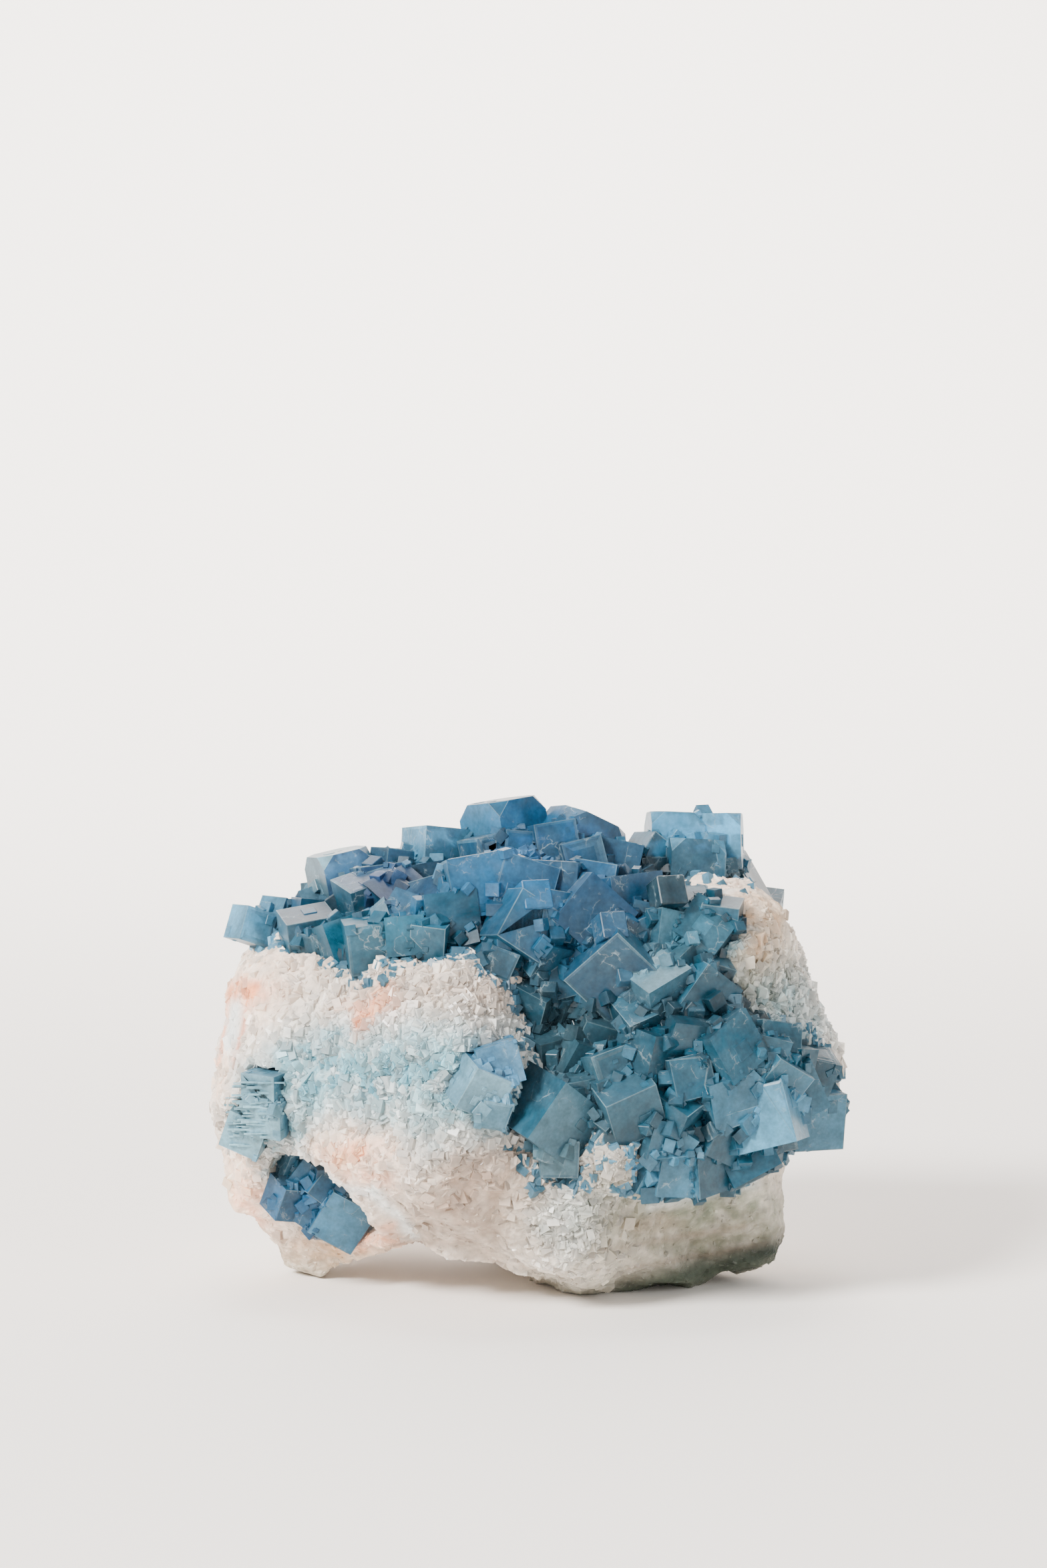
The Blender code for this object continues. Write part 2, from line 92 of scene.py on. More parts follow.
def node_maker(tree):
    """A maker of nodes in a tree: kind, inputs (values or sockets to link) and settings."""

    def node(kind, inputs=None, **settings):
        new = tree.nodes.new(kind)
        for key, value in settings.items():
            setattr(new, key, value)
        for key, value in (inputs or {}).items():
            if isinstance(value, bpy.types.NodeSocket):
                tree.links.new(value, new.inputs[key])
            else:
                new.inputs[key].default_value = value
        return new

    return node


def principled(name):
    """A new node material: the material, its Principled BSDF and a maker of its nodes."""
    made = bpy.data.materials.new(name)
    made.use_nodes = True
    return made, made.node_tree.nodes["Principled BSDF"], node_maker(made.node_tree)


profile = [(SHEET_FRONT, 0.0), (SWEEP_START, 0.0)]
for step in range(1, SWEEP_STEPS + 1):
    angle = math.pi / 2 * step / SWEEP_STEPS
    profile.append((SWEEP_START + SWEEP_RADIUS * math.sin(angle),
                    SWEEP_RADIUS * (1 - math.cos(angle))))
profile.append((SWEEP_START + SWEEP_RADIUS, SHEET_TOP))
sheet = bmesh.new()
left_edge = [sheet.verts.new((-SHEET_HALF_WIDTH, y, z)) for y, z in profile]
right_edge = [sheet.verts.new((SHEET_HALF_WIDTH, y, z)) for y, z in profile]
for step in range(len(profile) - 1):
    sheet.faces.new((left_edge[step], right_edge[step], right_edge[step + 1], left_edge[step + 1]))
for face in sheet.faces:
    face.smooth = True
sheet_data = bpy.data.meshes.new("backdrop")
sheet.to_mesh(sheet_data)
sheet.free()
backdrop = bpy.data.objects.new("backdrop", sheet_data)
bpy.context.scene.collection.objects.link(backdrop)
paper, shader, _ = principled("backdrop_paper")
shader.inputs["Base Color"].default_value = (*srgb(253, 247, 241), 1.0)
shader.inputs["Roughness"].default_value = 0.9
shader.inputs["Specular IOR Level"].default_value = 0.1
sheet_data.materials.append(paper)

# The studio light: a soft key from the upper left, a weak top light and fill, a wash on the
# backdrop and a pale room. Each lamp: name, place in metres, width, watts, colour.
LIGHTS = (
    ("key", (-0.80, -0.80, 0.85), 0.42, 48.0, (1.0, 0.98, 0.95)),
    ("top", (-0.05, 0.25, 1.05), 0.6, 3.0, (0.97, 0.985, 1.0)),
    ("fill", (0.9, -0.7, 0.5), 0.7, 3.5, (0.96, 0.98, 1.0)),
    ("backdrop_wash", (0.0, 0.55, 1.9), 0.8, 22.0, (1.0, 0.985, 0.97)),
)
WASH_TARGET = Vector((0.0, 1.15, 0.5))
WASH_SPREAD = math.radians(75)
for light_name, place, size, power, colour in LIGHTS:
    light_data = bpy.data.lights.new(light_name, "AREA")
    light_data.shape = "DISK"
    light_data.size = size
    light_data.energy = power
    light_data.color = colour
    lamp = bpy.data.objects.new(light_name, light_data)
    lamp.location = place
    target = CENTRE
    if light_name == "backdrop_wash":
        target = WASH_TARGET
        light_data.spread = WASH_SPREAD
    lamp.rotation_euler = (target - Vector(place)).to_track_quat("-Z", "Y").to_euler()
    bpy.context.scene.collection.objects.link(lamp)
room = bpy.data.worlds.new("room")
room.use_nodes = True
room.node_tree.nodes["Background"].inputs["Color"].default_value = (*srgb(240, 238, 238), 1.0)
room.node_tree.nodes["Background"].inputs["Strength"].default_value = 0.94
bpy.context.scene.world = room


# The rock, a granular quartz-like matrix, follows its CAD solid. It is remeshed finely, then
# broken into chips and grains, with long fibres on the right shoulder and beds along the base.
ROCK_VOXEL = 0.66 * MM
ROCK_RISE = 0.1
WAVE_SIZE = 7.0
PLATE_SIZE = 4.2
CHIP_SIZE = 1.9
FIBRE_WIDTH = 1.3
FIBRE_STRETCH = 0.85
MERGE_REACH = 0.002 * MM


def in_scene(name, data):
    """An object with that mesh, linked to the scene."""
    thing = bpy.data.objects.new(name, data)
    bpy.context.scene.collection.objects.link(thing)
    return thing


def copy_of_node(name, label):
    """A copy of a CAD node's mesh with its split corners merged."""
    mesh = bmesh.new()
    mesh.from_mesh(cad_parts[name].data)
    bmesh.ops.remove_doubles(mesh, verts=mesh.verts, dist=MERGE_REACH)
    data = bpy.data.meshes.new(label)
    mesh.to_mesh(data)
    mesh.free()
    return in_scene(label, data)


def evaluated(thing):
    """Replaces an object's mesh by what its modifiers make of it."""
    bpy.context.view_layer.update()
    graph = bpy.context.evaluated_depsgraph_get()
    data = bpy.data.meshes.new_from_object(thing.evaluated_get(graph))
    thing.modifiers.clear()
    thing.data = data
    return thing


rock = copy_of_node("matrix", "rock")
remesh = rock.modifiers.new("remesh", "REMESH")
remesh.mode = "VOXEL"
remesh.voxel_size = ROCK_VOXEL
evaluated(rock)


def chips(place, size):
    """Height of flat plates that step and tilt between cells of that size, from -1 to 1."""
    _, points = noise.voronoi(place / size)
    nearest = points[0]
    tilt = Vector((noise.cell(nearest), noise.cell(nearest.yzx), noise.cell(nearest.zxy)))
    return noise.cell(nearest * 3.0) + (place / size - nearest).dot(tilt)


def vertex_vectors(thing, name):
    """The places or the normals of all vertices, as an array."""
    values = np.empty(len(thing.data.vertices) * 3)
    thing.data.vertices.foreach_get(name, values)
    return values.reshape(-1, 3)


def all_as_seen(places):
    """Across and up on the sight plane, for an array of places."""
    lines = places - np.array(EYE)
    hits = lines * (SIGHT_DISTANCE / (lines @ np.array(AWAY)))[:, None]
    return hits @ np.array(RIGHT) / MM, hits @ np.array(UP) / MM


def around(across, up, spot):
    """How strongly a named spot reaches places: 1 at its middle, easing to 0."""
    spot_across, spot_up, half_width, half_height = spot
    return np.exp(-((across - spot_across) / half_width) ** 2 - ((up - spot_up) / half_height) ** 2)


def along_line(across, up, start, end, half_width):
    """How strongly a streak between two places reaches others: 1 on it, easing to 0."""
    run = np.array(end) - np.array(start)
    share = ((across - start[0]) * run[0] + (up - start[1]) * run[1]) / run.dot(run)
    share = np.clip(share, 0.0, 1.0)
    away = np.hypot(across - start[0] - share * run[0], up - start[1] - share * run[1])
    return np.exp(-((away / half_width) ** 2))


# Places on the show face where the rock is fibrous, bedded, sugary or smooth
SHOULDER = (43.0, 16.0, 10.0, 15.0)
BASE = (26.0, -33.0, 26.0, 8.0)
SUGARY_LOBE = (-16.0, -2.0, 22.0, 16.0)
NODULE = (13.6, -17.5, 5.0, 6.5)
WHITE_BLOB = (8.5, -30.0, 6.0, 7.0)
LEFT_FLANK = (-45.0, 6.0, 9.0, 12.0)
SMOOTH_LOBE = (-12.0, -28.0, 20.0, 9.0)
FIBRE = Vector((0.35, 0.0, -0.94))

spots = vertex_vectors(rock, "co")
normals = vertex_vectors(rock, "normal")
across, up = all_as_seen(spots)
facing = -normals @ np.array(AWAY)
front = np.clip(0.5 + 1.5 * facing, 0.0, 1.0)
fibrous = around(across, up, SHOULDER)
bedded = around(across, up, BASE) * front
sugary = sum(around(across, up, spot) for spot in (SUGARY_LOBE, NODULE, WHITE_BLOB)) * front
smooth = (around(across, up, SMOOTH_LOBE) + 0.6 * around(across, up, LEFT_FLANK)) * front
heights = np.empty(len(spots))
for index, spot in enumerate(spots):
    place = Vector(spot) / MM
    along = FIBRE * place.dot(FIBRE)
    height = ROCK_RISE + 0.42 * noise.fractal(place / WAVE_SIZE, 0.9, 2.0, 3)
    height += (0.26 - 0.16 * bedded[index] - 0.14 * smooth[index]) * chips(place, PLATE_SIZE)
    height += (0.12 + 0.1 * sugary[index]) * chips(place, CHIP_SIZE)
    height += 0.6 * fibrous[index] * noise.noise((place - along * FIBRE_STRETCH) / FIBRE_WIDTH)
    bed = Vector((place.x * 0.1, place.y * 0.1, place.z * 0.8 + place.x * 0.12))
    heights[index] = height + 0.45 * bedded[index] * noise.noise(bed)
spots += normals * heights[:, None] * MM
spots[:, 2] = np.maximum(spots[:, 2], 0.0)
rock.data.vertices.foreach_set("co", spots.ravel())
rock.data.update()

ROCK_TONES = {
    "cream": srgb(246, 236, 224),
    "warm": srgb(255, 220, 194),
    "orange": srgb(252, 160, 108),
    "rust": srgb(220, 118, 70),
    "beige": srgb(180, 156, 138),
    "taupe": srgb(138, 116, 102),
    "white": srgb(232, 238, 236),
    "grey": srgb(168, 172, 168),
    "grey_green": srgb(122, 132, 112),
    # Painted shade: the dark green of the underside in shadow, where it rises off the floor
    "painted_underside_shade": srgb(18, 34, 24),
    "brown": srgb(204, 168, 132),
    "pale_teal": srgb(140, 198, 212),
    "mid_teal": srgb(86, 142, 158),
    "slate": srgb(70, 98, 108),
}
# Where the rock's colour changes: tone, place and reach on the show face, strength
STAINS = (
    ("warm", (-44.0, 8.0, 14.0, 16.0), 0.6),
    ("orange", (-49.0, 8.6, 5.0, 2.2), 1.0),
    ("rust", (-47.0, 9.6, 1.2, 1.0), 0.5),
    ("grey", (-39.0, 6.0, 6.0, 3.0), 0.35),
    ("grey", (-34.0, 10.0, 8.0, 4.0), 0.35),
    ("orange", (-26.5, 5.6, 4.2, 2.4), 0.9),
    ("beige", (-14.0, 9.5, 14.0, 4.0), 0.55),
    ("beige", (-8.0, 5.0, 10.0, 4.5), 0.35),
    ("taupe", (-22.0, 9.0, 1.6, 1.8), 0.6),
    ("pale_teal", (-28.0, -5.0, 15.0, 7.0), 0.95),
    ("pale_teal", (-38.0, -6.0, 7.0, 6.0), 0.85),
    ("pale_teal", (-15.0, -10.0, 9.0, 6.0), 0.7),
    ("mid_teal", (-34.8, -1.3, 3.4, 2.2), 0.9),
    ("mid_teal", (-24.0, -5.4, 2.6, 2.6), 0.9),
    ("slate", (-26.2, -8.0, 2.2, 1.2), 0.7),
    ("mid_teal", (-41.5, -14.5, 2.6, 2.6), 0.8),
    ("mid_teal", (-47.0, -18.0, 2.6, 2.2), 0.6),
    ("taupe", (-18.0, -6.0, 1.2, 1.6), 0.7),
    ("taupe", (-15.3, -10.6, 1.6, 1.4), 0.6),
    ("mid_teal", (-37.0, -1.0, 5.0, 3.0), 0.6),
    ("mid_teal", (-20.0, -3.5, 6.0, 2.2), 0.7),
    ("mid_teal", (-27.0, -5.0, 5.0, 2.5), 0.4),
    ("pale_teal", (-12.0, -3.0, 12.0, 5.5), 0.85),
    ("pale_teal", (-5.0, -10.0, 7.0, 6.0), 0.9),
    ("mid_teal", (-7.0, -9.0, 4.0, 4.0), 0.3),
    ("pale_teal", (-43.0, -14.0, 6.0, 8.0), 0.9),
    ("mid_teal", (-45.0, -17.0, 5.0, 4.0), 0.4),
    ("pale_teal", (-18.0, -16.5, 5.0, 4.0), 0.5),
    ("warm", (-31.0, -19.0, 10.0, 5.0), 0.9),
    ("orange", (-30.0, -19.0, 4.5, 2.4), 0.7),
    ("orange", (-27.0, -24.0, 4.0, 2.0), 0.5),
    ("beige", (-8.0, -25.0, 14.0, 10.0), 0.95),
    ("taupe", (-7.0, -21.5, 5.0, 3.0), 0.4),
    ("taupe", (-11.0, -27.0, 5.0, 2.5), 0.4),
    ("taupe", (-9.0, -33.5, 9.0, 3.5), 0.45),
    ("taupe", (-19.0, -34.5, 4.0, 2.5), 0.6),
    ("white", (8.5, -30.0, 5.0, 6.5), 0.9),
    ("grey", (13.6, -17.5, 5.0, 6.5), 0.5),
    ("taupe", (10.0, -23.0, 3.0, 2.5), 0.5),
    ("warm", (-50.0, -24.0, 6.0, 9.0), 0.9),
    ("orange", (-47.0, -29.0, 5.0, 6.0), 0.4),
    ("brown", (-34.0, -36.0, 10.0, 4.0), 0.9),
    ("orange", (-25.0, -33.5, 4.0, 1.8), 0.55),
    ("taupe", (-40.0, -33.0, 5.0, 3.0), 0.4),
    ("grey_green", (30.0, -31.0, 24.0, 10.0), 0.95),
    ("taupe", (30.0, -33.0, 20.0, 5.0), 0.3),
    ("beige", (22.0, -31.0, 6.0, 2.0), 0.35),
    # Painted shade on the underside, where it rises off the floor
    ("painted_underside_shade", (40.0, -40.0, 13.0, 4.0), 1.0),
    ("painted_underside_shade", (14.0, -44.5, 14.0, 1.6), 0.7),
    ("pale_teal", (46.0, 4.0, 7.0, 8.0), 0.7),
    ("pale_teal", (34.0, 15.0, 4.0, 9.0), 0.85),
    ("mid_teal", (38.0, 20.0, 6.0, 3.0), 0.3),
    ("grey_green", (41.0, 11.0, 8.0, 12.0), 0.6),
    ("brown", (41.0, 21.0, 5.0, 7.0), 1.0),
    ("warm", (33.0, 28.0, 7.0, 2.4), 0.9),
    ("grey", (48.0, 4.0, 5.0, 8.0), 0.4),
    ("white", (-32.0, 29.0, 4.0, 4.0), 0.5),
)
# Thin streaks: tone, from, to, half width, strength. The first is a healed vein.
STREAKS = (
    ("white", (-49.8, 6.4), (-51.6, -2.0), 1.5, 0.9),
    ("warm", (-51.4, -2.0), (-52.8, -9.0), 1.1, 0.7),
    ("rust", (-47.9, 5.6), (-50.2, -3.0), 0.35, 0.65),
    ("orange", (-51.4, 6.0), (-53.0, -4.0), 0.4, 0.7),
    ("orange", (-24.0, 9.5), (-28.6, 3.0), 1.4, 0.6),
    ("white", (-38.0, -19.0), (-32.0, -25.0), 1.0, 0.7),
    ("white", (-32.0, -25.0), (-26.0, -25.4), 1.2, 0.8),
    ("white", (-26.0, -25.4), (-19.0, -33.0), 1.0, 0.8),
    ("white", (22.0, -28.0), (40.0, -24.0), 1.0, 0.5),
    ("taupe", (12.0, -36.0), (38.0, -31.5), 0.7, 0.35),
    ("taupe", (18.0, -39.0), (42.0, -34.5), 0.6, 0.4),
    # A streak of painted shade along the underside's lower edge
    ("painted_underside_shade", (18.0, -43.2), (46.0, -35.2), 2.6, 1.0),
)
# Crystal grains that the rock is grown from: size in mm, contrast between one and the next
GRAIN_CELLS = ((3.4, 0.27), (1.7, 0.22))
WANDER_SIZE = 5.0
WANDER_REACH = 3.2
PATCH_SIZE = 11.0
PATCH_SHIFT = Vector((7.0, 1.0, 3.0))
FLECK_SIZE = 2.1
GREYED_FOOT_HEIGHT = 7.0
LIGHTEST_ROCK = 0.95


def rock_shades(places, outwards):
    """The rock's colour at places, from its stains, its grains and its streaks."""
    across, up = all_as_seen(places)
    shown = np.clip(0.75 - 1.5 * (outwards @ np.array(AWAY)), 0.0, 1.0)
    lumps = [Vector(place) / MM for place in places]
    wander = np.array([noise.noise(lump / WANDER_SIZE) for lump in lumps]) * WANDER_REACH
    patch = np.array([noise.noise(lump / PATCH_SIZE + PATCH_SHIFT) for lump in lumps])
    fleck = np.array([noise.noise(lump / FLECK_SIZE) for lump in lumps])
    shades = np.tile(ROCK_TONES["cream"], (len(places), 1))

    def towards(tone, share):
        share = np.clip(share, 0.0, 1.0)[:, None]
        shades[:] = shades * (1 - share) + np.array(ROCK_TONES[tone]) * share

    towards("beige", 0.25 + 0.3 * patch + 0.25 * fleck)
    glassy = np.zeros(len(places))
    for tone, patch_spot, strength in STAINS:
        reach = around(across + wander, up + wander * 0.6, patch_spot)
        towards(tone, reach * strength * shown * (1 + 0.5 * fleck))
        if tone in ("pale_teal", "mid_teal"):
            glassy = np.maximum(glassy, reach * strength * shown)
    for size, contrast in GRAIN_CELLS:
        tone_of_cell = np.array([noise.cell(noise.voronoi(lump / size)[1][0] * 3.0) for lump in lumps])
        towards("mid_teal", glassy * contrast * 4.0 * np.clip(tone_of_cell, 0.0, 1.0))
        towards("slate", glassy * contrast * 5.0 * np.clip(tone_of_cell - 0.6, 0.0, 1.0))
        towards("white", glassy * contrast * 5.0 * np.clip(-tone_of_cell - 0.3, 0.0, 1.0))
        shades *= (1.0 + contrast * (0.4 + 0.6 * glassy) * tone_of_cell)[:, None]
    for tone, start, end, half_width, strength in STREAKS:
        reach = along_line(across + wander * 0.12, up + wander * 0.12, start, end, half_width)
        towards(tone, reach * strength * shown)
    # The rock is greyer and darker, towards grey-green, over its lowest few millimetres
    low = np.clip(1.0 - places[:, 2] / (GREYED_FOOT_HEIGHT * MM), 0.0, 1.0)
    towards("grey_green", 0.5 * low)
    return np.clip(shades, 0.0, LIGHTEST_ROCK)


def add_tints(mesh, shades):
    """Stores a mesh's colour for each vertex, painted shade and light included."""
    layer = mesh.color_attributes.new("tint", "FLOAT_COLOR", "POINT")
    values = np.ones((len(shades), 4), dtype=np.float32)
    values[:, :3] = shades
    layer.data.foreach_set("color", values.ravel())


add_tints(rock.data, rock_shades(spots, normals))

# The rock's finish: its tints, broken up by grain and by cloudy patches
rock_look, shader, node = principled("granular_rock")
place = node("ShaderNodeTexCoord").outputs["Object"]
tone = node("ShaderNodeAttribute", attribute_name="tint").outputs["Color"]
grains = node("ShaderNodeTexVoronoi", {"Vector": place, "Scale": 900.0}, feature="F1")
patches = node("ShaderNodeTexNoise", {"Vector": place, "Scale": 260.0, "Detail": 6.0, "Roughness": 0.7})
worn = node("ShaderNodeMapRange", {"Value": grains.outputs["Distance"], "To Min": 1.12, "To Max": 0.84})
shift = node("ShaderNodeMapRange", {"Value": patches.outputs["Fac"], "From Min": 0.3, "From Max": 0.7,
                                    "To Min": 0.8, "To Max": 1.14})
speckle = node("ShaderNodeMath", {0: worn.outputs[0], 1: shift.outputs[0]}, operation="MULTIPLY")
final = node("ShaderNodeVectorMath", {0: tone, "Scale": speckle.outputs[0]}, operation="SCALE")
rock_look.node_tree.links.new(final.outputs[0], shader.inputs["Base Color"])
shader.inputs["Roughness"].default_value = 0.72
shader.inputs["Subsurface Weight"].default_value = 0.25
shader.inputs["Subsurface Radius"].default_value = (0.9, 0.7, 0.6)
shader.inputs["Subsurface Scale"].default_value = 0.0012
fine = node("ShaderNodeBump", {"Height": grains.outputs["Distance"], "Strength": 0.55,
                               "Distance": 0.0004})
bumps = node("ShaderNodeBump", {"Height": patches.outputs["Fac"], "Strength": 0.65, "Distance": 0.0006,
                                "Normal": fine.outputs[0]})
rock_look.node_tree.links.new(bumps.outputs[0], shader.inputs["Normal"])
rock.data.materials.clear()
rock.data.materials.append(rock_look)
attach(rock, "root")
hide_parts("matrix")


# The rock's grains: angular translucent crystals of a sugary druse, which are coarse on the
# upper lobe, the nodule and the white boss, and fine elsewhere. They grow out of the surface.
SHOULDER_RIM = (46.0, 6.0, 8.0, 11.0)
CRUST_RIM = (31.0, 14.0, 4.0, 9.0)
BESIDE_BAND = (-44.0, -14.0, 8.0, 8.0)
BARE_FOOT = 1.6 * MM


def store_cover(mesh, name, cover):
    """Stores how thickly grains cover a mesh at each vertex."""
    layer = mesh.attributes.new(name, "FLOAT", "POINT")
    layer.data.foreach_set("value", np.asarray(cover, dtype=np.float32))


rim = (around(across, up, SHOULDER_RIM) + around(across, up, CRUST_RIM)) * front
coarse = np.clip(sugary * 1.2 + rim + 0.5 * around(across, up, BESIDE_BAND) * front, 0.0, 1.0)
fine_cover = np.clip(0.35 + 0.65 * front - 0.5 * smooth - 0.4 * bedded, 0.08, 1.0)
above_foot = spots[:, 2] > BARE_FOOT
store_cover(rock.data, "coarse", coarse * above_foot)
store_cover(rock.data, "fine", fine_cover * above_foot)


def grain_tree(name):
    """Geometry nodes that strew turned, unequal cubes over a surface, by a named cover."""
    tree = bpy.data.node_groups.new(name, "GeometryNodeTree")
    for label, kind in (("Rock", "Geometry"), ("Cover", "String"), ("Per square metre", "Float"),
                        ("Least edge", "Float"), ("Most edge", "Float"), ("Sunk", "Float"),
                        ("Seed", "Int"), ("Finish", "Material")):
        tree.interface.new_socket(label, in_out="INPUT", socket_type="NodeSocket" + kind)
    tree.interface.new_socket("Grains", in_out="OUTPUT", socket_type="NodeSocketGeometry")
    node = node_maker(tree)
    given = node("NodeGroupInput").outputs
    cover = node("GeometryNodeInputNamedAttribute", {"Name": given["Cover"]}, data_type="FLOAT")
    density = node("ShaderNodeMath", {0: cover.outputs["Attribute"], 1: given["Per square metre"]},
                   operation="MULTIPLY")
    strewn = node("GeometryNodeDistributePointsOnFaces",
                  {"Mesh": given["Rock"], "Density": density.outputs[0], "Seed": given["Seed"]})
    edge = node("FunctionNodeRandomValue", {2: given["Least edge"], 3: given["Most edge"], "Seed": 3},
                data_type="FLOAT")
    depth = node("ShaderNodeMath", {0: given["Most edge"], 1: given["Sunk"]}, operation="MULTIPLY")
    inwards = node("ShaderNodeMath", {0: depth.outputs[0], 1: -1.0}, operation="MULTIPLY")
    offset = node("ShaderNodeVectorMath", {0: strewn.outputs["Normal"], "Scale": inwards.outputs[0]},
                  operation="SCALE")
    sunk = node("GeometryNodeSetPosition",
                {"Geometry": strewn.outputs["Points"], "Offset": offset.outputs[0]})
    unequal = node("FunctionNodeRandomValue", {0: (0.6, 0.6, 0.6), 1: (1.3, 1.3, 1.3), "Seed": 5},
                   data_type="FLOAT_VECTOR")
    size = node("ShaderNodeVectorMath", {0: unequal.outputs[0], "Scale": edge.outputs[1]},
                operation="SCALE")
    turn = node("FunctionNodeRandomValue", {0: (0.0, 0.0, 0.0), 1: (6.28, 6.28, 6.28), "Seed": 7},
                data_type="FLOAT_VECTOR")
    cube = node("GeometryNodeMeshCube", {"Size": (1.0, 1.0, 1.0)})
    placed = node("GeometryNodeInstanceOnPoints",
                  {"Points": sunk.outputs[0], "Instance": cube.outputs["Mesh"],
                   "Rotation": turn.outputs[0], "Scale": size.outputs[0]})
    tone = node("FunctionNodeRandomValue", {2: 0.0, 3: 1.0, "Seed": 11}, data_type="FLOAT")
    toned = node("GeometryNodeStoreNamedAttribute",
                 {"Geometry": placed.outputs["Instances"], "Name": "tone", "Value": tone.outputs[1]},
                 data_type="FLOAT", domain="INSTANCE")
    real = node("GeometryNodeRealizeInstances", {"Geometry": toned.outputs[0]})
    made = node("GeometryNodeSetMaterial", {"Geometry": real.outputs[0], "Material": given["Finish"]})
    node("NodeGroupOutput", {"Grains": made.outputs[0]})
    return tree


# Each grain is a little lighter or darker than the next, and a few carry a painted glint
grain_look, shader, node = principled("rock_grain")
place = node("ShaderNodeTexCoord").outputs["Object"]
tint = node("ShaderNodeAttribute", attribute_name="tint").outputs["Color"]
tone = node("ShaderNodeAttribute", attribute_name="tone").outputs["Fac"]
cloud = node("ShaderNodeTexNoise", {"Vector": place, "Scale": 900.0, "Detail": 3.0})
painted_glint = node("ShaderNodeMath", {0: tone, 1: 5.0}, operation="POWER")
plain = node("ShaderNodeMapRange", {"Value": tone, "To Min": 0.58, "To Max": 1.14})
lighter = node("ShaderNodeMath", {0: painted_glint.outputs[0], 1: 0.22, 2: plain.outputs[0]},
               operation="MULTIPLY_ADD")
clouded = node("ShaderNodeMapRange", {"Value": cloud.outputs["Fac"], "From Min": 0.3, "From Max": 0.7,
                                      "To Min": 0.9, "To Max": 1.08})
speckle = node("ShaderNodeMath", {0: lighter.outputs[0], 1: clouded.outputs[0]}, operation="MULTIPLY")
final = node("ShaderNodeVectorMath", {0: tint, "Scale": speckle.outputs[0]}, operation="SCALE")
grain_look.node_tree.links.new(final.outputs[0], shader.inputs["Base Color"])
shader.inputs["Roughness"].default_value = 0.32
shader.inputs["IOR"].default_value = 1.5
shader.inputs["Subsurface Weight"].default_value = 0.5
shader.inputs["Subsurface Radius"].default_value = (0.9, 0.8, 0.75)
shader.inputs["Subsurface Scale"].default_value = 0.0012

grains_tree = grain_tree("rock_grains")


def strewn_grains(name, base, cover, per_metre, edges, sunk, seed, finish):
    """A piece of grains that cover a base mesh by one of its attributes. Their edges are in mm."""
    piece = in_scene(name, base)
    strew = piece.modifiers.new("strew", "NODES")
    strew.node_group = grains_tree
    chosen = {"Cover": cover, "Per square metre": per_metre, "Least edge": edges[0] * MM,
              "Most edge": edges[1] * MM, "Sunk": sunk, "Seed": seed, "Finish": finish}
    for socket in grains_tree.interface.items_tree:
        if socket.in_out == "INPUT" and socket.name in chosen:
            strew[socket.identifier] = chosen[socket.name]
    evaluated(piece)
    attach(piece, "root")


strewn_grains("coarse_grains", rock.data, cover="coarse", per_metre=4.2e6, edges=(0.5, 1.9),
              sunk=0.36, seed=1, finish=grain_look)
strewn_grains("fine_grains", rock.data, cover="fine", per_metre=0.85e6, edges=(0.3, 0.8),
              sunk=0.42, seed=2, finish=grain_look)


# The blue crystals: intergrown fluorite cubes, cloudy and translucent, with stepped faces and frosted
# edges that also carry a painted highlight. Their colour runs from deep blue on the summit
# to teal, slate and pale blue.
CRYSTAL_TONES = {
    "deep": srgb(38, 104, 148),
    "indigo": srgb(36, 70, 122),
    "teal": srgb(44, 126, 154),
    "light": srgb(112, 178, 210),
    "sky": srgb(50, 134, 184),
    "slate": srgb(28, 92, 116),
    "dark": srgb(14, 34, 44),
    "grey": srgb(70, 96, 106),
    "pale": srgb(176, 212, 222),
    "ink": srgb(10, 78, 112),
    "mist": srgb(104, 140, 152),
}
# What the crystals' own blue leaves of red, green and blue
BODY_COLOUR = (0.76, 0.9, 0.94)
